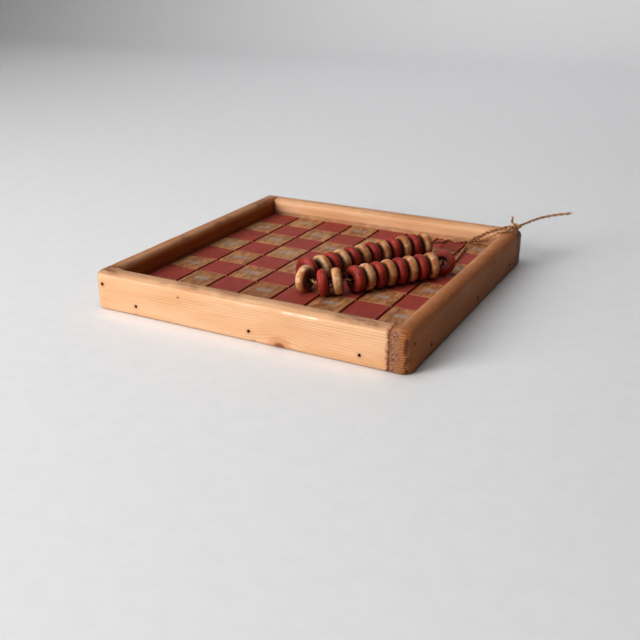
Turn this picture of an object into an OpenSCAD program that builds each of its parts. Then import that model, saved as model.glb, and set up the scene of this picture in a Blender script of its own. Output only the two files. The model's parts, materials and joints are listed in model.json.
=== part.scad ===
// Checkers board: a grooved playing board framed by four nailed rails, with its checkers
// threaded on one length of jute twine that lies in the tray and hangs over a corner.
// Origin: centre of the tray's underside. +X runs along the front rail, +Y to the back, +Z up.

/* [Playing board] */
// Side of the square playing board
board_w = 285.75; // [270:0.25:300]
// Thickness of the playing board
board_t = 19.05; // [16:0.05:20]
// Squares along each side
squares = 8; // [4:2:10]
// Width of the saw kerfs between squares
groove_w = 2.3; // [0.8:0.1:3]
// Depth of the saw kerfs
groove_d = 2; // [0.5:0.1:4]

/* [Rails] */
// Thickness of a rail
rail_t = 19.05; // [16:0.05:24]
// Height of a rail
rail_h = 38.1; // [36:0.1:60]
// Round-over along the top edges
top_round = 7.5; // [2:0.1:7.8]
// Round-over along the bottom outer edge
bottom_round = 2.2; // [1:0.1:4]
// Rounding of the tray's upright outer corners
corner_round = 8; // [7.6:0.1:12]
// Radius of the path the inner round-over takes through a corner
inner_path = 6.35; // [3:0.05:10]

/* [Nails] */
// Shank radius
nail_r = 0.8; // [0.5:0.05:1.1]
// Head radius
head_r = 1.1; // [0.8:0.05:1.5]
// Nail length
nail_l = 31; // [25:1:34]
// How far a head is driven below the face
head_sink = 1.8; // [0.5:0.1:3]
// Places of the three board nails along each rail, from its middle
board_nails = [-114, 10, 117];
// Height of the nails that tie two rails together
corner_nail_z = 25.5; // [24:0.5:30]

/* [Checkers] */
// Outside diameter
checker_d = 26; // [24:0.1:26.4]
// Thickness
checker_t = 10.2; // [9:0.1:10.4]
// Diameter of the hole for the twine
hole_d = 8; // [7:0.1:9]
// Rounding of the outer edges
rim_round = 4.6; // [2:0.1:4.8]
// Rounding of the hole's edges
hole_round = 1.6; // [0.5:0.1:2]

/* [Rows of checkers] */
// Checker spacing along the back row
back_spacing = 13.13; // [13.1:0.01:13.2]
// Plan direction of the back row at its near end
back_heading = 70.8; // [70.5:0.1:71]
// How the back row bends, in degrees per millimetre
back_bend = -0.134; // [-0.14:0.002:-0.13]
// Checker spacing along the front row
front_spacing = 12; // [11.9:0.01:12.05]
// Plan direction of the front row at its near end
front_heading = 58.5; // [58.2:0.1:58.8]
// How the front row bends, in degrees per millimetre
front_bend = -0.09; // [-0.095:0.001:-0.085]
// Lean of the two checkers that rest against the front row
slack_lean = 8; // [4:1:9]
// Lean of the last checker
last_lean = 40; // [36:1:42]

/* [Twine] */
// Diameter of the twine
twine_d = 2.3; // [1.6:0.1:2.5]
// Turns that the long end takes round the strand at the knot
knot_turns = 1.5; // [1.5:1:2.5]

/* [Hidden] */
$fn = 96;
slip = 1;             // how far cutters reach past a surface
seam = 0.1;           // gap round the board and at the rails' butt joints
nail_fit = 0.05;      // radial gap round a nail
rest_gap = 0.12;      // gap under a checker or a strand that lies on wood
half_in = board_w / 2;
half_out = half_in + rail_t;
pitch = board_w / squares;
checker_r = checker_d / 2;
rim_r = checker_r - rim_round;
twine_r = twine_d / 2;
per_side = 12;        // checkers of each colour
count = 2 * per_side;

// ---------------------------------------------------------------- tray

// Everything outside a quarter circle: the waste a round-over bit takes off a corner
module corner_waste(r) {
    difference() {
        square(r + slip);
        circle(r);
    }
}

// Waste along the edge of a square of the given half side whose corners turn at corner_r.
// The children are the waste's section, with x measured outwards from the edge.
module edge_waste(half, corner_r) {
    straight = half - corner_r;
    for (side = [0:3]) rotate([0, 0, 90 * side]) {
        translate([half, straight, 0])
            rotate([90, 0, 0])
                linear_extrude(2 * straight) children();
        translate([straight, straight, 0])
            rotate_extrude(angle = 90)
                translate([corner_r, 0]) children();
    }
}

// The four rails as one ring with all its edges rounded
module rail_ring() {
    difference() {
        translate([-half_out, -half_out, 0])
            cube([2 * half_out, 2 * half_out, rail_h]);
        translate([-half_in, -half_in, -slip])
            cube([2 * half_in, 2 * half_in, rail_h + 2 * slip]);
        for (side = [0:3]) rotate([0, 0, 90 * side])
            translate([half_out - corner_round, half_out - corner_round, -slip])
                linear_extrude(rail_h + 2 * slip) corner_waste(corner_round);
        translate([0, 0, rail_h - top_round]) edge_waste(half_out, corner_round)
            translate([-top_round, 0]) corner_waste(top_round);
        translate([0, 0, bottom_round]) edge_waste(half_out, corner_round)
            translate([-bottom_round, 0]) mirror([0, 1]) corner_waste(bottom_round);
        translate([0, 0, rail_h - top_round]) edge_waste(half_in, inner_path)
            translate([top_round, 0]) mirror([1, 0]) corner_waste(top_round);
    }
}

// A cylinder along +Y
module rod_y(r, l) {
    rotate([-90, 0, 0]) cylinder(r = r, h = l);
}

// Repeats its children, drawn at a nail's entry on the front face, at each board nail of one rail
module at_board_nails() {
    for (x = board_nails) translate([x, -half_out, board_t / 2]) children();
}

// The same for the one nail that ties a rail to the rail it laps
module at_corner_nail() {
    translate([-half_in - rail_t / 2, -half_out, corner_nail_z]) children();
}

// A nail driven along +Y, with its head sunk below the face
module nail() {
    translate([0, head_sink, 0]) rod_y(head_r, slip);
    translate([0, head_sink, 0]) rod_y(nail_r, nail_l);
}

module nail_hole() {
    translate([0, -slip, 0]) rod_y(head_r + nail_fit, slip + head_sink + slip + nail_fit);
    rod_y(nail_r + nail_fit, head_sink + nail_l + nail_fit);
}

// All the nail holes of the tray; each rail laps the next at the end its corner nail enters
module all_nail_holes() {
    for (side = [0:3]) rotate([0, 0, 90 * side]) {
        at_board_nails() nail_hole();
        at_corner_nail() nail_hole();
    }
}

// One rail of the pinwheel; side 0 is the front rail, and they go round anticlockwise
module rail(side) {
    difference() {
        intersection() {
            rail_ring();
            rotate([0, 0, 90 * side]) translate([-half_out, -half_out, 0])
                cube([half_out + half_in - seam, rail_t, rail_h]);
        }
        all_nail_holes();
    }
}

module front_rail() { color([0.80, 0.56, 0.33]) rail(0); }
module right_rail() { color([0.62, 0.41, 0.24]) rail(1); }
module back_rail() { color([0.82, 0.60, 0.38]) rail(2); }
module left_rail() { color([0.55, 0.33, 0.17]) rail(3); }

module playing_board() {
    side = board_w - 2 * seam;
    color([0.58, 0.22, 0.17]) difference() {
        translate([-side / 2, -side / 2, 0]) cube([side, side, board_t]);
        for (i = [1:squares - 1]) {
            across = i * pitch - half_in;
            translate([across - groove_w / 2, -half_in, board_t - groove_d])
                cube([groove_w, board_w, groove_d + slip]);
            translate([-half_in, across - groove_w / 2, board_t - groove_d])
                cube([board_w, groove_w, groove_d + slip]);
        }
        for (side = [0:3]) rotate([0, 0, 90 * side]) at_board_nails() nail_hole();
    }
}

module board_nails_set() {
    color([0.17, 0.14, 0.12])
        for (side = [0:3]) rotate([0, 0, 90 * side]) at_board_nails() nail();
}

module corner_nails_set() {
    color([0.17, 0.14, 0.12])
        for (side = [0:3]) rotate([0, 0, 90 * side]) at_corner_nail() nail();
}

// ---------------------------------------------------------------- checkers

// Point and heading after going s along an arc; bend is in degrees per millimetre
function on_arc(start, heading, bend, s) =
    let (turned = heading + bend * s, k = 180 / PI / bend)
    [start[0] + k * (sin(turned) - sin(heading)),
     start[1] - k * (cos(turned) - cos(heading)),
     turned];

// Height of a checker's centre when it stands on the board leaning by the given angle
function standing_z(lean) =
    board_t + rest_gap + rim_r * cos(lean) + (checker_t / 2 - rim_round) * abs(sin(lean)) + rim_round;

// The checkers are counted along the twine: 1 to 11 fill the back row from its far end, 12 to
// 15 take the bend at the left, 16 to 23 fill the front row and 24 leans beyond its far end.
back_count = 11;
front_first = 16;
back_start = [18.8, -41.4];
front_start = [62, -54.2];
left_bend = [
    [10.5, -54.6, 258, 0],
    [19.3, -74.9, -4, 0],
    [39.4, -77, 25, -slack_lean],
    [49.1, -67.6, 31, -slack_lean]
];
last_place = [116.3, 32.6, 105, last_lean];

// Plan position of a checker, the heading of its hole along the twine, and the lean of its top
// along that heading
function plan_pose(k) =
    k <= back_count
        ? let (p = on_arc(back_start, back_heading, back_bend, back_spacing * (back_count - k)))
          [p[0], p[1], p[2] + 180, 0]
    : k < front_first ? left_bend[k - back_count - 1]
    : k < count
        ? let (p = on_arc(front_start, front_heading, front_bend, front_spacing * (k - front_first)))
          [p[0], p[1], p[2], 0]
    : last_place;

function pose(k) =
    let (p = plan_pose(k)) [p[0], p[1], standing_z(p[3]), p[2], p[3]];

// Unit vector along a checker's hole
function hole_axis(k) =
    let (p = pose(k)) [cos(p[3]) * cos(p[4]), sin(p[3]) * cos(p[4]), -sin(p[4])];

// A wooden ring about the Z axis, centred on the origin
module wooden_ring() {
    half_t = checker_t / 2;
    difference() {
        translate([0, 0, -half_t]) cylinder(r = checker_r, h = checker_t);
        translate([0, 0, -half_t - slip]) cylinder(d = hole_d, h = checker_t + 2 * slip);
        for (face = [0, 1]) mirror([0, 0, face]) {
            rotate_extrude()
                translate([rim_r, half_t - rim_round]) corner_waste(rim_round);
            rotate_extrude()
                translate([hole_d / 2 + hole_round, half_t - hole_round])
                    mirror([1, 0]) corner_waste(hole_round);
        }
    }
}

module checker(k) {
    p = pose(k);
    translate([p[0], p[1], p[2]]) rotate([0, 90 + p[4], p[3]]) wooden_ring();
}

// Odd places along the twine are natural wood, even places are red
module natural_checker(i) { color([0.82, 0.62, 0.42]) checker(2 * i - 1); }
module red_checker(i) { color([0.60, 0.17, 0.13]) checker(2 * i); }

// ---------------------------------------------------------------- twine

// Where the two ends are tied, over the tray's back right corner
knot = [half_in + 13.5, half_in + 7.2, rail_h + 4.1];
wrap_r = twine_d + 0.35;  // how far a wrap of the knot runs from the strand inside it
wrap_skew = 0.385;        // how far a wrap leans along that strand, as a share of wrap_r
knot_w = 3.6;             // width that the wraps fill
strand_z = board_t + rest_gap + twine_r;
rail_top_z = rail_h + rest_gap + twine_r;
foot_y = half_in - rest_gap - twine_r;

// The strand enters and leaves each hole straight along its axis
hole_points = [
    for (k = [1:count], way = [-1, 1])
        let (p = pose(k)) [p[0], p[1], p[2]] + way * checker_t / 2 * hole_axis(k)
];

// One end: from its loose tip over the corner to the knot
long_end = [
    [half_in + 58, half_in + 66, rail_h + 10],
    [half_in + 48, half_in + 60, rail_h + 9],
    [half_in + 35, half_in + 51, rail_h + 7],
    [half_in + 26, half_in + 38, rail_h + 5.6],
    [half_in + 21, half_in + 26, rail_h + 4.6],
    [half_in + 17, half_in + 16, rail_h + 4]
];

// The turns of that end round the other strand
wraps = [
    for (a = [0:45:360 * knot_turns])
        knot + [wrap_skew * wrap_r * cos(a) + knot_w * (0.5 - a / (360 * knot_turns)),
                wrap_r * cos(a),
                -wrap_r * sin(a)]
];

// From the knot along the right rail and down across the board to the first checker
lower_strand = [
    [half_in + 7.5, half_in - 7, rail_top_z + 0.3],
    [half_in + 0.5, half_in - 11, rail_top_z - 1],
    [half_in - 9, half_in - 8, rail_h - 6.5],
    [half_in - 18, half_in - 5, rail_h - 11.5],
    [half_in - 27, foot_y - 1.5, strand_z + 3.6],
    [half_in - 36, foot_y - 1, strand_z + 1.2],
    [half_in - 46, half_in - 7.5, strand_z],
    [half_in - 55, half_in - 4.5, strand_z + 0.4],
    [half_in - 60, half_in - 11, strand_z],
    [half_in - 59, half_in - 23, strand_z + 2],
    [half_in - 57, half_in - 40, strand_z + 7]
];

// From the last checker back over the board, up the back rail and over it to the knot
upper_strand = [
    [half_in - 27, half_in - 95, strand_z + 1.5],
    [half_in - 26, half_in - 80, strand_z + 0.1],
    [half_in - 27.5, half_in - 58, strand_z + 0.2],
    [half_in - 30.5, half_in - 32, strand_z + 0.3],
    [half_in - 30.5, half_in - 16, strand_z + 3.2],
    [half_in - 28, foot_y - 3.2, strand_z + 6.5],
    [half_in - 22.5, foot_y - 0.3, strand_z + 9.3],
    [half_in - 18, foot_y - 0.1, strand_z + 12.6],
    [half_in - 11, foot_y - 0.2, strand_z + 16],
    [half_in - 3, half_in + 1.5, rail_h + 1.2],
    knot + [-6, -0.6, -0.4],
    knot,
    knot + [4, 0.1, 0.4],
    knot + [5.4, -2.2, 1.6],
    knot + [3, -4.6, 2.7],
    knot + [-0.6, -5, 3.6],
    knot + [-3.1, -4.8, 5.8],
    knot + [-3.5, -4.6, 8.8],
    knot + [-2.9, -4.4, 11.8]
];

course = concat(long_end, wraps, lower_strand, hole_points, upper_strand);

// Catmull-Rom point between b and c
function between(a, b, c, d, t) =
    b + t / 2 * ((c - a) + t * ((2 * a - 5 * b + 4 * c - d) + t * (3 * (b - c) + d - a)));

function smooth(p, steps) = [
    for (i = [0:len(p) - 2], s = [0:steps - 1])
        between(p[max(i - 1, 0)], p[i], p[i + 1], p[min(i + 2, len(p) - 1)], s / steps),
    p[len(p) - 1]
];

function unit(v) = v / norm(v);

function direction(p, i) = unit(p[min(i + 1, len(p) - 1)] - p[max(i - 1, 0)]);

// Part of v square to the unit vector t
function square_to(v, t) = unit(v - (v * t) * t);

// Normals carried along the path without twisting
function carried_normals(p) = [
    for (i = 0, n = square_to([0, 0, 1], direction(p, 0));
         i < len(p);
         i = i + 1, n = i < len(p) ? square_to(n, direction(p, i)) : n) n
];

// A round cord of radius r along the points p
module cord(p, r, sides = 8) {
    normals = carried_normals(p);
    last = len(p) - 1;
    points = [
        for (i = [0:last], j = [0:sides - 1])
            let (t = direction(p, i), n = normals[i], a = 360 * j / sides)
            p[i] + r * (cos(a) * n + sin(a) * cross(t, n))
    ];
    ends = [
        [for (j = [sides - 1:-1:0]) j],
        [for (j = [0:sides - 1]) last * sides + j]
    ];
    walls = [
        for (i = [0:last - 1], j = [0:sides - 1])
            let (a = i * sides + j, b = i * sides + (j + 1) % sides)
            [a, b, b + sides, a + sides]
    ];
    polyhedron(points, concat(ends, walls));
}

module twine() { color([0.72, 0.50, 0.27]) cord(smooth(course, 2), twine_r); }

// ---------------------------------------------------------------- nodes

playing_board();
front_rail();
right_rail();
back_rail();
left_rail();
board_nails_set();
corner_nails_set();
twine();
for (i = [1:per_side]) {
    natural_checker(i);
    red_checker(i);
}
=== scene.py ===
"""The looks of the strung checkers board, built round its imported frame.

Lengths in this file are millimetres, but the lights, the camera and names that end in _m are in
metres. The rails are shaped in the front rail's place and turned a quarter turn at a time, as the
CAD's pinwheel is."""

import json
import math

import bmesh
import bpy
import numpy as np
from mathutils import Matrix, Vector


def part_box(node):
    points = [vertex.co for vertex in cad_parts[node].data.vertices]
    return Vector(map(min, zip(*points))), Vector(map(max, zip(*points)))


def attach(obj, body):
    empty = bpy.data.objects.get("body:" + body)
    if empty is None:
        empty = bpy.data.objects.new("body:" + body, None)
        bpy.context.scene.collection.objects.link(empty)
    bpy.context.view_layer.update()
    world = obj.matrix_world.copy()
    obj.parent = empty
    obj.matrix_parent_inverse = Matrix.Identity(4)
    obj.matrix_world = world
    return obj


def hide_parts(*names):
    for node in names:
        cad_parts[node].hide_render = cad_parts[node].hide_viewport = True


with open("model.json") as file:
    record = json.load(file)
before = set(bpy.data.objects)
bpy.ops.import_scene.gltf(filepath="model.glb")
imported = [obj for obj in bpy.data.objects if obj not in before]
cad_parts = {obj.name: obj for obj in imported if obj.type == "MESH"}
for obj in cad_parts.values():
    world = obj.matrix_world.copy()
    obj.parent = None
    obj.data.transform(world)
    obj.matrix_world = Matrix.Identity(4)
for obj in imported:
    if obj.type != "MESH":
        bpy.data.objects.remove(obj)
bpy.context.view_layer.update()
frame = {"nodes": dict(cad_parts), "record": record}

MM = 0.001
SQUARES = 8
KERF_W = 2.3
KERF_DEPTH = 2.0
TOP_ROUND = 7.5
BOTTOM_ROUND = 2.2
CORNER_ROUND = 8.0
INNER_PATH = 6.35           # radius, in plan, on which the inner corners of the rails' tops turn
NAIL_LENGTH = 31.0
NAIL_SINK = 1.8
PLY_TURN = 10.5             # length of twine in which the plies go once round
TWINE_STEP = 0.55           # between the plies' sections
TURN_PLACE = 7              # number of the checkers at the turn of the string
PITH = (9.5, -60)           # across and up, where the heart of each rail's tree ran
WAVE_PERIOD = math.pi / 10  # distance between a wave texture's rings at scale 1
HALO = 2.3                  # a knot's halo, as a multiple of the knot
FIGURE_SHIFT = 331.0        # along the wood, so that no two rails look alike
CHECKERS = [n for n in frame["nodes"] if "checker" in n]
RAILS = ["front_rail", "right_rail", "back_rail", "left_rail"]
BODY_OF = {n: b for b, nodes in frame["record"]["behaviour"]["bodies"].items() for n in nodes}


def box_mm(node):
    low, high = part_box(node)
    return np.array(low) / MM, np.array(high) / MM


FRONT_LOW, FRONT_HIGH = box_mm("front_rail")
BOARD_LOW, BOARD_HIGH = box_mm("playing_board")
HALF_OUT = -FRONT_LOW[0]
HALF_IN = -FRONT_HIGH[1]
RAIL_H = FRONT_HIGH[2]
BOARD_T = BOARD_HIGH[2]
SQUARE = 2 * HALF_IN / SQUARES


# ---------------------------------------------------------------- shape helpers

def unit(vectors):
    """One vector or a list of them, each made one long."""
    return vectors / np.maximum(np.linalg.norm(vectors, axis=-1, keepdims=True), 1e-9)


def distance_along(path):
    """How far each point of a path is from its first, along the path."""
    return np.concatenate([[0], np.cumsum(np.linalg.norm(np.diff(path, axis=0), axis=1))])


def ripple(points, size, depth, seed, waves=9):
    """A smooth random height at each point: swells about size apart and depth deep."""
    rng = np.random.default_rng(seed)
    heading = unit(rng.normal(size=(waves, 3)))
    turns = 2 * math.pi / (size * rng.uniform(0.7, 1.6, waves))
    phase = rng.uniform(0, 2 * math.pi, waves)
    swell = np.sin(points @ (heading * turns[:, None]).T + phase).sum(axis=1)
    return depth * swell / math.sqrt(waves)


def dents(points, centres, widths, depths):
    """Depth at each point of a set of soft round dents."""
    total = np.zeros(len(points))
    for centre, width, depth in zip(centres, widths, depths):
        total += depth * np.exp(-((points - centre) ** 2).sum(axis=1) / width ** 2)
    return total


def smoothstep(x, low, high):
    t = np.clip((x - low) / (high - low), 0, 1)
    return t * t * (3 - 2 * t)


def grid_quads(rows, cols, around=False, back=False):
    """Quads of a rows by cols grid of points; around joins the last column to the first, and
    back joins the last row to the first."""
    quads = []
    for i in range(rows if back else rows - 1):
        for j in range(cols if around else cols - 1):
            a, b = i * cols, (i + 1) % rows * cols
            k = (j + 1) % cols
            quads.append((a + j, a + k, b + k, b + j))
    return quads


def capped_tube(first, rows, sides):
    """Faces of a tube of rows loops of points, the first point's number being first, with both
    ends closed."""
    faces = [tuple(first + i for i in quad) for quad in grid_quads(rows, sides, True)]
    faces.append(tuple(first + i for i in range(sides)))
    faces.append(tuple(first + (rows - 1) * sides + i for i in range(sides)))
    return faces


def grid_normals(grid):
    """Unit normals of a rows by cols grid of points whose columns run round in a loop."""
    padded = np.concatenate([grid[:, -1:], grid, grid[:, :1]], axis=1)
    across = padded[:, 2:] - padded[:, :-2]
    along = np.gradient(grid, axis=0)
    return unit(np.cross(along, across))


def outward_normals(grid):
    """The grid's normals as one list, turned so that the highest point's one points up."""
    normals = grid_normals(grid).reshape(-1, 3)
    highest = np.argmax(grid[:, :, 2])
    return -normals if normals[highest, 2] < 0 else normals


def mesh_object(name, points, faces):
    """An object from points in millimetres, with its faces turned outwards."""
    mesh = bpy.data.meshes.new(name)
    mesh.from_pydata((np.asarray(points) * MM).tolist(), [], faces)
    work = bmesh.new()
    work.from_mesh(mesh)
    bmesh.ops.recalc_face_normals(work, faces=work.faces)
    work.to_mesh(mesh)
    work.free()
    made = bpy.data.objects.new(name, mesh)
    bpy.context.scene.collection.objects.link(made)
    return made


def finish_piece(piece, material, slot, *nodes, sharp=42):
    """Shades a piece, gives it its material and has it stand for its CAD nodes on their body."""
    mesh = piece.data
    mesh.polygons.foreach_set("use_smooth", [True] * len(mesh.polygons))
    mesh.set_sharp_from_angle(angle=math.radians(sharp))
    mesh.materials.clear()
    mesh.materials.append(material)
    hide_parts(*nodes)
    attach(piece, BODY_OF[nodes[0]])


def vertex_points(mesh):
    co = np.empty(len(mesh.vertices) * 3)
    mesh.vertices.foreach_get("co", co)
    return co.reshape(-1, 3) / MM


def vertex_normals(mesh):
    out = np.empty(len(mesh.vertices) * 3)
    mesh.vertices.foreach_get("normal", out)
    return out.reshape(-1, 3)


def store(mesh, name, values):
    """Keeps one number or one vector for each vertex, for the material to read."""
    values = np.asarray(values, np.float32)
    if values.ndim == 1:
        mesh.attributes.new(name, "FLOAT", "POINT").data.foreach_set("value", values)
    else:
        mesh.attributes.new(name, "FLOAT_VECTOR", "POINT").data.foreach_set("vector", values.ravel())


def quarter_turns(points, turns):
    """Points turned about Z by a number of quarter turns."""
    a = turns * math.pi / 2
    turn = np.array([[math.cos(a), math.sin(a), 0], [-math.sin(a), math.cos(a), 0], [0, 0, 1]])
    return points @ turn.round(12)


# ---------------------------------------------------------------- materials

def tone(red, green, blue):
    """A colour as seen on a screen, 0 to 255, in the linear values that nodes take."""
    def linear(c):
        c /= 255
        return c / 12.92 if c <= 0.04045 else ((c + 0.055) / 1.055) ** 2.4
    return (linear(red), linear(green), linear(blue), 1.0)


class Shader:
    """Short names for building one material's nodes."""

    def __init__(self, name):
        self.material = bpy.data.materials.new(name)
        self.material.use_nodes = True
        self.tree = self.material.node_tree
        self.surface = self.tree.nodes["Principled BSDF"]

    def feed(self, socket, value):
        if isinstance(value, bpy.types.NodeSocket):
            self.tree.links.new(value, socket)
        else:
            socket.default_value = value

    def node(self, kind, inputs, **settings):
        made = self.tree.nodes.new("ShaderNode" + kind)
        for key, value in settings.items():
            setattr(made, key, value)
        for key, value in inputs.items():
            self.feed(made.inputs[key], value)
        return made

    def vector(self, name):
        return self.node("Attribute", {}, attribute_name=name).outputs["Vector"]

    def number(self, name):
        return self.node("Attribute", {}, attribute_name=name).outputs["Fac"]

    def place(self, vector, scale=(1, 1, 1), move=(0, 0, 0)):
        return self.node("Mapping", {"Vector": vector, "Scale": scale, "Location": move}).outputs[0]

    def noise(self, vector, scale=1.0, detail=3.0, rough=0.5, bend=0.0):
        inputs = {"Vector": vector, "Scale": scale, "Detail": detail, "Roughness": rough,
                  "Distortion": bend}
        return self.node("TexNoise", inputs).outputs[0]

    def math(self, operation, a, b=0.0):
        return self.node("Math", {0: a, 1: b}, operation=operation).outputs[0]

    def step(self, value, low, high, to_low=0.0, to_high=1.0):
        """Rises smoothly from to_low to to_high as value goes from low to high."""
        inputs = {"Value": value, "From Min": low, "From Max": high, "To Min": to_low,
                  "To Max": to_high}
        return self.node("MapRange", inputs, interpolation_type="SMOOTHSTEP").outputs[0]

    def mix(self, share, a, b, blend="MIX"):
        inputs = {0: share, 6: a, 7: b}
        return self.node("Mix", inputs, data_type="RGBA", blend_type=blend).outputs[2]

    def bump(self, height, depth_m):
        inputs = {"Height": height, "Distance": depth_m, "Strength": 1.0}
        return self.node("Bump", inputs).outputs[0]

    def done(self, colour, rough, normal=None, others=None):
        self.feed(self.surface.inputs["Base Color"], colour)
        self.feed(self.surface.inputs["Roughness"], rough)
        if normal is not None:
            self.feed(self.surface.inputs["Normal"], normal)
        for key, value in (others or {}).items():
            self.feed(self.surface.inputs[key], value)
        return self.material


def growth_rings(s, grain, spacing, bend):
    """Sawtooth across the growth rings, whose centre runs along the grain at the pith."""
    placed = s.place(grain, (0.03, 1, 1), (0, -PITH[0], -PITH[1]))
    inputs = {"Vector": placed, "Scale": WAVE_PERIOD / spacing, "Distortion": bend,
              "Detail": 2.0, "Detail Scale": 0.12, "Detail Roughness": 0.4}
    return s.node("TexWave", inputs, wave_type="RINGS", rings_direction="X",
                  wave_profile="SAW").outputs["Fac"]


def knot(s, grain, along, up, size):
    """1 in a knot's heart, fading to 0 at its edge and before it reaches the inner face."""
    wide, deep, tall = 1 / size, 0.09, 1.25 / size
    placed = s.place(grain, (wide, deep, tall), (-along * wide, 0, -up * tall))
    distance = s.node("VectorMath", {0: placed}, operation="LENGTH").outputs["Value"]
    ragged = s.math("ADD", distance, s.math("MULTIPLY", s.noise(grain, 0.5), 0.5))
    return s.step(ragged, 0.75, 1.3, 1.0, 0.0)


def knotted(s, grain, knots, colour):
    """A colour with each knot's brown heart and the paler halo round it."""
    for along, up, size in knots:
        heart = knot(s, grain, along, up, size)
        halo = knot(s, grain, along, up, HALO * size)
        colour = s.mix(s.math("MULTIPLY", halo, 0.4), colour, tone(182, 108, 66))
        colour = s.mix(s.math("MULTIPLY", heart, 0.75), colour, tone(128, 62, 38))
    return colour


def pine_material(name, knots):
    """Honey-coloured varnished pine; knots are (along, up, size) on the rail."""
    s = Shader(name)
    grain = s.vector("grain")
    rings = growth_rings(s, s.vector("figure"), 2.6, 1.3)
    late = s.step(rings, 0.45, 0.92)
    late = s.math("MULTIPLY", late, s.step(rings, 1.0, 0.94))
    fibre = s.noise(s.place(grain, (0.03, 2.2, 2.2)), 1.0, 3.0, 0.6)
    clouds = s.noise(s.place(grain, (0.012, 0.06, 0.06)), 1.0, 3.0, 0.5)
    strength = s.step(s.noise(s.place(grain, (0.01, 0.09, 0.09)), 1.0, 2.0), 0.35, 0.65, 0.14, 0.44)
    pores = s.noise(s.place(grain, (0.16, 5.0, 5.0)), 1.0, 2.0, 0.6)
    colour = s.mix(s.step(clouds, 0.35, 0.68), tone(226, 185, 149), tone(217, 171, 131))
    colour = s.mix(s.math("MULTIPLY", late, strength), colour, tone(176, 130, 94))
    colour = s.mix(s.step(fibre, 0.42, 0.75, 0.0, 0.3), colour, tone(186, 136, 94))
    colour = s.mix(s.step(pores, 0.62, 0.8, 0.0, 0.35), colour, tone(140, 90, 56))
    # browning, partly painted shade on the faces that the light misses
    colour = s.mix(s.number("browning_and_shade"), colour, tone(197, 144, 80), "MULTIPLY")
    colour = knotted(s, grain, knots, colour)
    end = s.number("end")
    colour = s.mix(end, colour, end_grain(s, grain))
    # grime, with painted shade in the nail pits, and darker towards the bottom and at the foot of
    # the inner face
    shade_and_grime = s.number("shade_and_grime")
    blotch = s.noise(s.place(grain, (0.09, 0.3, 0.3)), 1.0, 4.0, 0.62)
    shade_and_grime_share = s.math("MULTIPLY", shade_and_grime, s.step(blotch, 0.25, 0.62, 0.35, 1.0))
    colour = s.mix(shade_and_grime_share, colour, tone(108, 52, 22))
    rough = s.step(s.noise(grain, 0.25, 4.0), 0.3, 0.7, 0.46, 0.62)
    relief = s.math("ADD", s.math("MULTIPLY", late, 0.3), s.math("MULTIPLY", fibre, 0.6))
    cells = s.noise(s.place(grain, (0.3, 0.8, 0.8)), 1.0, 5.0, 0.72)
    relief = s.math("ADD", relief, s.math("MULTIPLY", s.math("MULTIPLY", cells, end), 4.0))
    varnish = {"Specular IOR Level": 0.13, "Coat Weight": s.number("polish"), "Coat Roughness": 0.2}
    return s.done(colour, rough, s.bump(relief, 0.00004), varnish)


def end_grain(s, grain):
    """Sawn end grain: fine rings, torn and blotched on the side nearest the board."""
    rings = growth_rings(s, grain, 2.3, 0.8)
    late = s.math("MULTIPLY", s.step(rings, 0.3, 0.85), s.step(rings, 1.0, 0.9))
    cells = s.noise(s.place(grain, (0.3, 0.9, 0.9)), 1.0, 5.0, 0.72, 0.6)
    blotch = s.noise(s.place(grain, (0.1, 0.16, 0.1)), 1.0, 4.0, 0.6)
    wood = s.mix(s.math("MULTIPLY", late, 0.7), tone(180, 124, 78), tone(110, 64, 36))
    wood = s.mix(s.step(cells, 0.4, 0.66, 0.0, 0.5), wood, tone(124, 76, 50))
    wood = s.mix(s.step(blotch, 0.5, 0.62, 0.0, 0.75), wood, tone(94, 42, 38))
    across = s.node("SeparateXYZ", {0: grain}).outputs[1]
    side = s.math("ADD", across, s.math("MULTIPLY", blotch, 14.0))
    torn = s.mix(s.step(cells, 0.4, 0.58), tone(112, 66, 50), tone(176, 132, 104))
    return s.mix(s.step(side, 15.0, 20.0), wood, torn)


def stencil_share(s, grain, square, fine):
    """How much of a square's worn mark of three dots is left at each point."""
    spacing, wide, tall = 5.4, 3.3, 5.2
    nearest = s.math("ROUND", s.math("DIVIDE", square[0], spacing))
    nearest = s.math("MAXIMUM", s.math("MINIMUM", nearest, 1.0), -1.0)
    from_dot = s.math("SUBTRACT", square[0], s.math("MULTIPLY", nearest, spacing))
    u = s.math("DIVIDE", from_dot, wide)
    v = s.math("DIVIDE", square[1], tall)
    spread = s.math("SQRT", s.math("ADD", s.math("POWER", u, 2.0), s.math("POWER", v, 2.0)))
    spread = s.math("ADD", spread, s.step(s.noise(grain, 0.4, 3.0), 0.25, 0.75, -0.55, 0.55))
    worn = s.step(fine, 0.34, 0.6, 0.95, 0.3)
    return s.math("MULTIPLY", s.step(spread, 0.4, 1.1, 1.0, 0.0), worn)


def bare_squares(s, grain, square, clouds, streaks, fine):
    """Bare wood, stained and streaked along the grain, with the stencilled mark."""
    stains = s.noise(s.place(grain, (0.07, 0.16, 0.16), (40, 0, 0)), 1.0, 4.0, 0.6)
    bare = s.mix(s.step(clouds, 0.36, 0.64), tone(204, 148, 98), tone(172, 126, 88))
    bare = s.mix(s.step(stains, 0.44, 0.64, 0.0, 0.75), bare, tone(140, 80, 44))
    bare = s.mix(s.step(streaks, 0.43, 0.64, 0.0, 0.7), bare, tone(116, 66, 38))
    bare = s.mix(s.step(fine, 0.5, 0.78, 0.0, 0.35), bare, tone(196, 152, 112))
    shade = s.number("shade")
    bare = s.mix(s.step(shade, 0.5, 0.0, 0.0, 0.5), bare, tone(138, 78, 40))
    bare = s.mix(s.step(shade, 0.5, 1.0, 0.0, 0.45), bare, tone(186, 150, 106))
    return s.mix(stencil_share(s, grain, square, fine), bare, tone(158, 164, 164))


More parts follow.
